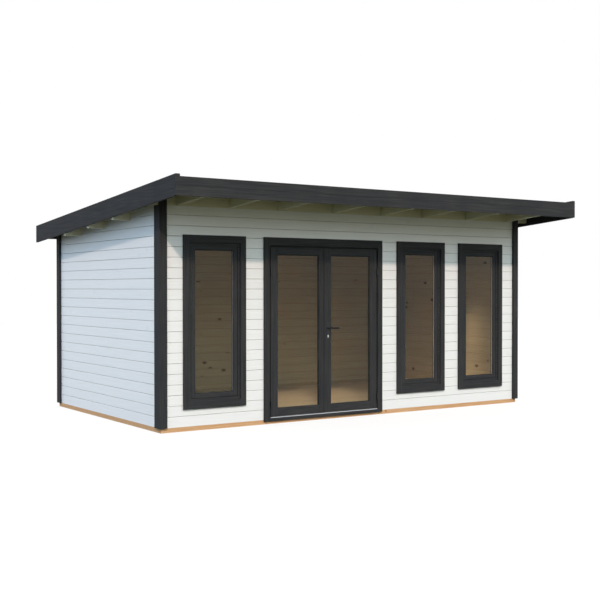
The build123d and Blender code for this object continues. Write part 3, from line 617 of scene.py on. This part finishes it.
GASKET_WIDTH = 0.003
GASKET_RISE = 0.0035
GASKET_CROWN = 0.0012
GASKET_THIN_EDGE = 0.001
epdm_rubber = black_polymer("black_epdm_rubber", "#101011", "#1B1B1C", rough=(0.6, 0.8))


def bead(work, edges, profile):
    """Adds a bar round an opening with mitred corners; the profile's points are a way inwards and y."""
    left, right, foot, head = edges
    corners = []
    for x, z, inwards_x, inwards_z in (
        (left, foot, 1, 1),
        (right, foot, -1, 1),
        (right, head, -1, -1),
        (left, head, 1, -1),
    ):
        points = [(x + inwards_x * way, y, z + inwards_z * way) for way, y in profile]
        corners.append([work.verts.new(point) for point in points])
    for near, far in zip(corners, corners[1:] + corners[:1]):
        for i in range(len(profile)):
            j = (i + 1) % len(profile)
            work.faces.new((near[i], far[i], far[j], near[j]))


def fit(piece, finish, body):
    """Gives a piece its finish and lets it ride on a body."""
    piece.data.materials.append(finish)
    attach(piece, body)


def lay_gaskets(pane_node, body):
    """Gaskets on both faces of a pane, in the corner between the glass and its frame."""
    low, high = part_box(pane_node)
    edges = (low.x + PANE_EDGE, high.x - PANE_EDGE, low.z + PANE_EDGE, high.z - PANE_EDGE)
    work = bmesh.new()
    for glass_face, outwards in ((low.y, -1), (high.y, 1)):
        lip = glass_face + outwards * GASKET_RISE
        foot = glass_face + outwards * GASKET_THIN_EDGE
        crown = (GASKET_CROWN, lip)
        wedge = [(0, glass_face), (0, lip), crown, (GASKET_WIDTH, foot), (GASKET_WIDTH, glass_face)]
        bead(work, edges, wedge)
    gaskets = finished(work, pane_node.replace("glass", "gaskets"))
    fit(gaskets, epdm_rubber, body)


for pane_node in window_panes:
    lay_gaskets(pane_node, "root")
for side in ("left", "right"):
    lay_gaskets(f"{side}_door_glass", f"{side}_door")

# Threshold strip: an extruded aluminium bar, anodised, that takes the wear of feet. It is held down
# by small slotted screws of stainless steel in front of the leaves.

sill_aluminium = bare_metal("anodised_aluminium_strip", "#C4C8CB", rough=(0.28, 0.45), mark_mm=0.8)
dress(["threshold_strip"], sill_aluminium)
stainless = bare_metal("turned_stainless_steel", "#C9CACB", rough=(0.2, 0.32), mark_mm=0.4)

# A slotted head, in shares of its rise and radius: the slot's floor, its half width, how far its ends
# stay inside the rim, and the taper of the two raised halves
SCREW_SIDES = 12
SLOT_FLOOR = 0.4
SLOT_HALF = 0.15
SLOT_END = 0.97
HALF_TAPER = 0.9


def slotted_screw(name, facing, radius, rise):
    """A low screw head: a round base with two raised halves that leave the slot between them."""
    work = bmesh.new()
    outwards = Vector(facing) * rise
    rim = round_outline(facing, radius, SCREW_SIDES)
    middle = SCREW_SIDES // 2
    draw_out(work, rim, outwards * SLOT_FLOOR)
    turn = Vector((0, 0, 1)).rotation_difference(Vector(facing))
    slot = turn @ Vector((0, radius * SLOT_HALF, 0))
    for half, gap in ((rim[: middle + 1], slot), (rim[middle:] + rim[:1], -slot)):
        ends = [half[0] * SLOT_END + gap, *half[1:-1], half[-1] * SLOT_END + gap]
        foot = [point + outwards * SLOT_FLOOR for point in ends]
        draw_out(work, foot, outwards * (1 - SLOT_FLOOR), taper=HALF_TAPER)
    return finished(work, name)


STRIP_SCREWS = 6
STRIP_SCREW_RADIUS = 0.0022
STRIP_SCREW_RISE = 0.0008
STRIP_SCREW_INSET = 0.0055
low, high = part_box("threshold_strip")
strip_step = (high.x - low.x) / STRIP_SCREWS
strip_screws = slotted_screw("strip_screws", (0, 0, 1), STRIP_SCREW_RADIUS, STRIP_SCREW_RISE)
first = (low.x + strip_step / 2, low.y + STRIP_SCREW_INSET, high.z)
strip_row = {"First": first, "Step": (strip_step, 0, 0), "Count": STRIP_SCREWS}
lay(strip_screws, "root", "bright_metal", Finish=stainless, **strip_row)

# Hinges and handle: steel and zinc with a black powder coat, finely grained. The lock cylinder is
# nickel-plated brass with a bright turned face, and each plate is held by two black screws.

COAT_GRIT_MM = 0.556
powder_coat, tree = new_finish("black_powder_coat")
here = add(tree, "ShaderNodeTexCoord").outputs["Object"]
fine_grit = {"Scale": 1000 / COAT_GRIT_MM, "Detail": 2.0}
grit = add(tree, "ShaderNodeTexNoise", fine_grit, {"Vector": here}).outputs["Fac"]
coat_sheen = {"To Min": 0.36, "To Max": 0.5}
coat_rough = add(tree, "ShaderNodeMapRange", coat_sheen, {"Value": grit}).outputs[0]
coat_relief = add(tree, "ShaderNodeBump", {"Strength": 0.25, "Distance": 0.0001}, {"Height": grit})
coat_looks = {"Roughness": coat_rough, "Normal": coat_relief.outputs["Normal"]}
coat = add(tree, "ShaderNodeBsdfPrincipled", {"Base Color": linear("#1D1E20"), "IOR": 1.4}, coat_looks)
add(tree, "ShaderNodeOutputMaterial", {}, {"Surface": coat.outputs[0]})
dress(["frame_hinges", "left_door_hinges", "right_door_hinges"], powder_coat)
dress(["handle_plates", "lever_handle"], powder_coat)
nickel = bare_metal("nickel_plated_brass", "#D8D6D0", rough=(0.18, 0.3), mark_mm=0.5)
dress(["lock_cylinder"], nickel)

PLATE_SCREW_INSET = 0.014
PLATE_SCREW_RADIUS = 0.0035
PLATE_SCREW_RISE = 0.0012
low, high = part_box("handle_plates")
plate_middle = (low.x + high.x) / 2
screw_step = (0, 0, high.z - low.z - 2 * PLATE_SCREW_INSET)
for face, face_y, outwards in (("front", low.y, -1), ("back", high.y, 1)):
    head = ((0, outwards, 0), PLATE_SCREW_RADIUS, PLATE_SCREW_RISE)
    screws = slotted_screw(f"plate_screws_{face}", *head)
    first = (plate_middle, face_y, low.z + PLATE_SCREW_INSET)
    lay(screws, "right_door", "dark_metal", First=first, Step=screw_step, Count=2, Finish=powder_coat)

# Roof timber: planed spruce purlins, rafters and beams with one coat of cream primer, which leaves
# the grain and the knots faintly visible.

PRIMED_CREAM = ("#DFDAC0", "#D5CEB0", "#B6A27C")
primed_cross = bare_softwood("primed_spruce_cross", PRIMED_CREAM, ALONG_X, rough=0.58, relief_mm=0.2)
primed_length = bare_softwood("primed_spruce_lengthwise", PRIMED_CREAM, ALONG_Y, rough=0.58, relief_mm=0.2)
dress(["purlins", "front_blocks", "front_edge_beam"], primed_cross)
dress(["canopy_rafters"], primed_length)

DECK_THICKNESS = 0.019
deck_low, deck_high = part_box("roof_boards")
deck_fall = deck_high.z - DECK_THICKNESS - deck_low.z
roof_slope = deck_fall / (deck_high.y - deck_low.y)


def under_deck(y):
    """Height of the deck's underside at a place from front to back."""
    return deck_high.z - DECK_THICKNESS - roof_slope * (y - deck_low.y)


def foot_and_slope(x, front, back, foot):
    """Outline of a timber with a level foot that ends under the deck."""
    return [(x, front, foot), (x, back, foot), (x, back, under_deck(back)), (x, front, under_deck(front))]


# The rear beam ends at the side walls' outer faces, and the corner boards go on up over its ends
beam_low, beam_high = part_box("rear_beam")
wall_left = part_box("left_wall")[0].x
wall_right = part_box("right_wall")[1].x
beam_work = bmesh.new()
beam_outline = foot_and_slope(wall_left, beam_low.y, beam_high.y, beam_low.z)
draw_out(beam_work, beam_outline, (wall_right - wall_left, 0, 0))
short_beam = finished(beam_work, "rear_wall_beam")
fit(short_beam, primed_cross, "root")
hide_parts("rear_beam")
for side, wall_face, post_face in (("left", wall_left, 0), ("right", wall_right, 1)):
    post_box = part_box(f"back_{side}_post")
    head_work = bmesh.new()
    head_outline = foot_and_slope(wall_face, post_box[0].y, beam_high.y, beam_low.z)
    draw_out(head_work, head_outline, (post_box[post_face].x - wall_face, 0, 0))
    post_head = finished(head_work, f"back_{side}_post_head")
    fit(post_head, anthracite_upright, "root")

# Roof deck: tongued spruce boards 88 mm wide that run from the front to the back, nailed to the
# purlins and beams, with a V-joint that shows from below under the same primer.

DECK_BOARD = 0.088
DECK_JOINT = 0.0008
DECK_VEE = 0.003
deck_count = round((deck_high.x - deck_low.x) / DECK_BOARD)
deck_pitch = (deck_high.x - deck_low.x) / deck_count
DECK_CREAM = ("#DAD5BA", "#CFC8AA", "#AE9A72")
deck_boards = ("X", deck_pitch, deck_low.x)
deck_spruce = bare_softwood("primed_spruce_deck", DECK_CREAM, ALONG_Y, deck_boards, tone=0.05, rough=0.6)
deck_under = deck_high.z - DECK_THICKNESS
deck_width = deck_pitch - DECK_JOINT
deck_outline = [
    (0, deck_low.y, deck_under + DECK_VEE),
    (DECK_VEE, deck_low.y, deck_under),
    (deck_width - DECK_VEE, deck_low.y, deck_under),
    (deck_width, deck_low.y, deck_under + DECK_VEE),
    (deck_width, deck_low.y, deck_high.z),
    (0, deck_low.y, deck_high.z),
]
deck_work = bmesh.new()
draw_out(deck_work, deck_outline, (0, deck_high.y - deck_low.y, -deck_fall))
deck_planks = finished(deck_work, "deck_planks")
deck_first = (deck_low.x + DECK_JOINT / 2, 0, 0)
deck_rows = {"First": deck_first, "Step": (deck_pitch, 0, 0), "Count": deck_count}
lay(deck_planks, "root", "deck_pine", Finish=deck_spruce, **deck_rows)
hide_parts("roof_boards")

# Roof covering: mineral felt in four sheets across the roof, each lapped 80 mm over the one below
# it, with slate-grey granules on a bitumen sheet. Galvanised clout nails hold the edges and laps.

FELT = 0.002
LAP = 0.08
LAP_BEND = 0.012
SHEETS = 4
# The granules are about 1 mm wide. They are drawn coarser, so that their speckle shows.
SHOWN_GRANULE_MM = 2.38
BLOTCH_MM = 455
mineral_felt, tree = new_finish("slate_grey_mineral_felt")
here = add(tree, "ShaderNodeTexCoord").outputs["Object"]
granules = add(tree, "ShaderNodeTexVoronoi", {"Scale": 1000 / SHOWN_GRANULE_MM}, {"Vector": here})
blotches = add(tree, "ShaderNodeTexNoise", {"Scale": 1000 / BLOTCH_MM, "Detail": 5.0}, {"Vector": here})
speckle = add(tree, "ShaderNodeSeparateColor", {}, {"Color": granules.outputs["Color"]})
slate_shades = {"data_type": "RGBA", 6: linear("#34373A"), 7: linear("#5B5F63")}
slate = add(tree, "ShaderNodeMix", slate_shades, {0: speckle.outputs["Red"]})
levels = {"To Min": 0.82, "To Max": 1.12}
weather = add(tree, "ShaderNodeMapRange", levels, {"Value": blotches.outputs["Fac"]})
worn = {0: slate.outputs[2], "Scale": weather.outputs[0]}
felt_colour = add(tree, "ShaderNodeVectorMath", {"operation": "SCALE"}, worn)
grit = {"Height": granules.outputs["Distance"]}
felt_relief = add(tree, "ShaderNodeBump", {"Strength": 0.8, "Distance": 0.0008}, grit)
felt_looks = {"Base Color": felt_colour.outputs[0], "Normal": felt_relief.outputs["Normal"]}
felt_shader = add(tree, "ShaderNodeBsdfPrincipled", {"Roughness": 0.92, "IOR": 1.5}, felt_looks)
add(tree, "ShaderNodeOutputMaterial", {}, {"Surface": felt_shader.outputs[0]})

felt_low, felt_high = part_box("roof_felt")
sheet_run = (felt_high.y - felt_low.y + (SHEETS - 1) * LAP) / SHEETS


def over_deck(y, above):
    """Height of a place over the deck, from front to back."""
    return under_deck(y) + DECK_THICKNESS + above


for number in range(SHEETS):
    start = felt_low.y + number * (sheet_run - LAP)
    end = start + sheet_run
    if number < SHEETS - 1:
        section = ((start, 0), (end - LAP - LAP_BEND, 0), (end - LAP, FELT), (end, FELT))
    else:
        section = ((start, 0), (end, 0))
    under = [(felt_low.x, y, over_deck(y, above)) for y, above in section]
    over = [(felt_low.x, y, over_deck(y, above + FELT)) for y, above in reversed(section)]
    felt_work = bmesh.new()
    draw_out(felt_work, under + over, (felt_high.x - felt_low.x, 0, 0))
    sheet = finished(felt_work, f"felt_sheet_{number + 1}")
    fit(sheet, mineral_felt, "root")
    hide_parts("roof_felt")

CLOUT_HEAD = 0.005
CLOUT_RISE = 0.0012
CLOUT_INSET = 0.02
CLOUT_STEP = 0.15
galvanised = bare_metal("galvanised_steel", "#A9ADB0", rough=(0.4, 0.55), mark_mm=2.0)
across_count = int((felt_high.x - felt_low.x - 2 * CLOUT_INSET) / CLOUT_STEP)
across_step = (felt_high.x - felt_low.x - 2 * CLOUT_INSET) / across_count
lap_ends = [felt_low.y + number * (sheet_run - LAP) + sheet_run for number in range(SHEETS - 1)]
nail_rows = [(felt_low.y + CLOUT_INSET, FELT), (felt_high.y - CLOUT_INSET, FELT)]
nail_rows += [(lap_end - CLOUT_INSET, 2 * FELT) for lap_end in lap_ends]
for number, (row_y, above) in enumerate(nail_rows, start=1):
    nails = nail_head(f"clout_nails_{number}", (0, 0, 1), CLOUT_HEAD, CLOUT_RISE)
    first = (felt_low.x + CLOUT_INSET, row_y, over_deck(row_y, above))
    row = {"First": first, "Step": (across_step, 0, 0), "Count": across_count + 1}
    lay(nails, "root", "bright_metal", Finish=galvanised, **row)
down_first = felt_low.y + CLOUT_INSET + CLOUT_STEP
down_count = int((felt_high.y - down_first) / CLOUT_STEP)
nails = nail_head("clout_nails_sides", (0, 0, 1), CLOUT_HEAD, CLOUT_RISE)
first = (felt_low.x + CLOUT_INSET, down_first, over_deck(down_first, FELT))
down = {"Step": (0, CLOUT_STEP, -CLOUT_STEP * roof_slope), "Count": down_count}
edges = {"Across": (felt_high.x - felt_low.x - 2 * CLOUT_INSET, 0, 0), "Lines": 2}
lay(nails, "root", "bright_metal", First=first, Finish=galvanised, **down, **edges)

# Fascias and kerbs: planed boards with the same anthracite paint, nailed to the ends of the roof
# timber. The kerb battens stand behind the side fascias and lead the rain to the low rear edge, and a
# thin strip caps each pair.

FASCIA_NAIL_STEP = 0.6
FASCIA_NAIL_INSET = 0.044
SIDE_FASCIA_DEPTH = 0.21
KERB_WIDTH = 0.024
CAP_THICKNESS = 0.006
anthracite_cross = anthracite_boards("anthracite_cross_boards", ALONG_X)
anthracite_side = anthracite_boards("anthracite_side_boards", ALONG_Y)
dress(["front_fascia", "rear_fascia"], anthracite_cross)
dress(["left_fascia", "right_fascia", "roof_kerbs"], anthracite_side)


def nail_spacing(length):
    """How many nails a fascia of a length takes in a row, and the distance between them."""
    between = length - 2 * FASCIA_NAIL_INSET
    spaces = int(between / FASCIA_NAIL_STEP)
    return spaces + 1, between / spaces


for name, facing_y in (("front_fascia", -1), ("rear_fascia", 1)):
    low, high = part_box(name)
    nails = nail_head(f"{name}_nails", (0, facing_y, 0), NAIL_HEAD, NAIL_RISE)
    count, step = nail_spacing(high.x - low.x)
    outer_y = low.y if facing_y < 0 else high.y
    first = (low.x + FASCIA_NAIL_INSET, outer_y, low.z + FASCIA_NAIL_INSET)
    across = (0, 0, high.z - low.z - 2 * FASCIA_NAIL_INSET)
    rows = {"Step": (step, 0, 0), "Count": count, "Across": across, "Lines": 2}
    lay(nails, "root", "trim_anthracite", First=first, Finish=anthracite_cross, **rows)

front_low, front_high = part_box("front_fascia")
for side, facing_x in (("left", -1), ("right", 1)):
    low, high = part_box(f"{side}_fascia")
    outer_x = low.x if facing_x < 0 else high.x
    nails = nail_head(f"{side}_fascia_nails", (facing_x, 0, 0), NAIL_HEAD, NAIL_RISE)
    count, step = nail_spacing(high.y - low.y)
    first = (outer_x, low.y + FASCIA_NAIL_INSET, high.z - FASCIA_NAIL_INSET * (1 + roof_slope))
    across = (0, 0, 2 * FASCIA_NAIL_INSET - SIDE_FASCIA_DEPTH)
    rows = {"Step": (0, step, -step * roof_slope), "Count": count, "Across": across, "Lines": 2}
    lay(nails, "root", "trim_anthracite", First=first, Finish=anthracite_side, **rows)

    # A thin strip caps the fascia and the kerb, and its thick front end stands on the front fascia
    edge_rear = high.z - roof_slope * (high.y - low.y)
    cap_front = high.z + roof_slope * (low.y - front_low.y) + CAP_THICKNESS
    section = [(front_low.y, front_high.z), (low.y, front_high.z), (low.y, high.z), (high.y, edge_rear)]
    section += [(high.y, edge_rear + CAP_THICKNESS), (front_low.y, cap_front)]
    cap_work = bmesh.new()
    cap_width = high.x - low.x + KERB_WIDTH
    draw_out(cap_work, [(outer_x, y, z) for y, z in section], (-facing_x * cap_width, 0, 0))
    cap = finished(cap_work, f"{side}_kerb_cap")
    fit(cap, anthracite_side, "root")

# Studio: a pale floor and a soft surround, cool above and warm near the ground, with a warm key lamp
# high on the front left, a broad cool fill from the left and another from the front. Floor and
# surround look white to the camera, to gloss and to glass, and the floor gives back little light.

FLOOR_SIZE = 60.0
FLOOR_GLOW = 0.8
HORIZON = "#BFBA9A"
SKY = "#EBFCFF"
# The rise at which the surround starts to turn from the horizon's colour to the sky's, and ends
SKY_FADE = (0.08, 0.42)
SKY_LEVEL = 1.17


def is_seen(tree):
    """1 for what the camera sees, also in gloss and through glass, and 0 for the light on the object."""
    path = add(tree, "ShaderNodeLightPath").outputs
    straight = {0: path["Is Camera Ray"], 1: path["Is Glossy Ray"]}
    gloss = add(tree, "ShaderNodeMath", {"operation": "MAXIMUM"}, straight)
    through = {0: gloss.outputs[0], 1: path["Is Transmission Ray"]}
    any_seen = add(tree, "ShaderNodeMath", {"operation": "MAXIMUM"}, through)
    unscattered = add(tree, "ShaderNodeMath", {"operation": "LESS_THAN", 1: 0.5}, {0: path["Diffuse Depth"]})
    both = {0: any_seen.outputs[0], 1: unscattered.outputs[0]}
    return add(tree, "ShaderNodeMath", {"operation": "MULTIPLY"}, both).outputs[0]


bpy.ops.mesh.primitive_plane_add(size=FLOOR_SIZE, location=(0, 0, 0))
floor = bpy.context.object
floor.name = "studio_floor"
floor_paint, tree = new_finish("matt_studio_floor")
matt = add(tree, "ShaderNodeBsdfDiffuse", {"Color": linear("#45463A")})
pale = add(tree, "ShaderNodeBsdfDiffuse", {"Color": linear("#FFF6EE")})
glow = add(tree, "ShaderNodeEmission", {"Color": (1, 1, 1, 1), "Strength": 1.0})
bright = add(tree, "ShaderNodeMixShader", {0: FLOOR_GLOW}, {1: pale.outputs[0], 2: glow.outputs[0]})
lit_or_seen = {0: is_seen(tree), 1: matt.outputs[0], 2: bright.outputs[0]}
floor_mix = add(tree, "ShaderNodeMixShader", {}, lit_or_seen)
add(tree, "ShaderNodeOutputMaterial", {}, {"Surface": floor_mix.outputs[0]})
floor.data.materials.append(floor_paint)

surround = bpy.data.worlds.new("studio_surround")
bpy.context.scene.world = surround
surround.use_nodes = True
tree = surround.node_tree
tree.nodes.clear()
place = add(tree, "ShaderNodeTexCoord").outputs["Generated"]
upwards = add(tree, "ShaderNodeSeparateXYZ", {}, {"Vector": place}).outputs["Z"]
rising = {"From Min": SKY_FADE[0], "From Max": SKY_FADE[1]}
height = add(tree, "ShaderNodeMapRange", rising, {"Value": upwards}).outputs[0]
shades = {"data_type": "RGBA", 6: linear(HORIZON), 7: linear(SKY)}
shade = add(tree, "ShaderNodeMix", shades, {0: height}).outputs[2]
soft = add(tree, "ShaderNodeBackground", {"Strength": SKY_LEVEL}, {"Color": shade})
white = add(tree, "ShaderNodeBackground", {"Color": (1, 1, 1, 1), "Strength": 1.0})
lit_or_seen = {0: is_seen(tree), 1: soft.outputs[0], 2: white.outputs[0]}
world_mix = add(tree, "ShaderNodeMixShader", {}, lit_or_seen)
add(tree, "ShaderNodeOutputWorld", {}, {"Surface": world_mix.outputs[0]})

# Each lamp's colour, strength, width in degrees and direction
for name, colour, strength, spread, shines in (
    ("key_lamp", (1.0, 0.77, 0.65), 1.82, 2.0, (0.443, 0.715, -0.542)),
    ("left_fill_lamp", (0.0, 0.35, 1.0), 1.2, 90.0, (1.0, 0.0, -0.3)),
    ("front_fill_lamp", (0.73, 0.87, 1.0), 1.04, 50.0, (-0.25, 0.8, -0.47)),
):
    lamp = bpy.data.lights.new(name, "SUN")
    lamp.color = colour
    lamp.energy = strength
    lamp.angle = math.radians(spread)
    stand = bpy.data.objects.new(name, lamp)
    stand.rotation_euler = Vector(shines).to_track_quat("-Z", "Y").to_euler()
    bpy.context.scene.collection.objects.link(stand)

# Camera: at the photograph's place, a standing eye's height over the ground and 11 m from the left
# front corner, turned to the right and a little down, with a lens of about 60 mm.

CAMERA_PLACE = (-7.3537, -10.8774, 1.5481)
CAMERA_DOWN = 0.701
CAMERA_ROLL = 0.026
CAMERA_RIGHT = 33.828
camera = bpy.data.cameras.new("photo_camera")
camera.lens = 60.44
camera.sensor_width = 36.0
camera_stand = bpy.data.objects.new("photo_camera", camera)
camera_stand.location = CAMERA_PLACE
camera_angles = (90 - CAMERA_DOWN, CAMERA_ROLL, -CAMERA_RIGHT)
camera_stand.rotation_euler = [math.radians(angle) for angle in camera_angles]
bpy.context.scene.collection.objects.link(camera_stand)
bpy.context.scene.camera = camera_stand
bpy.context.scene.view_settings.view_transform = "Standard"
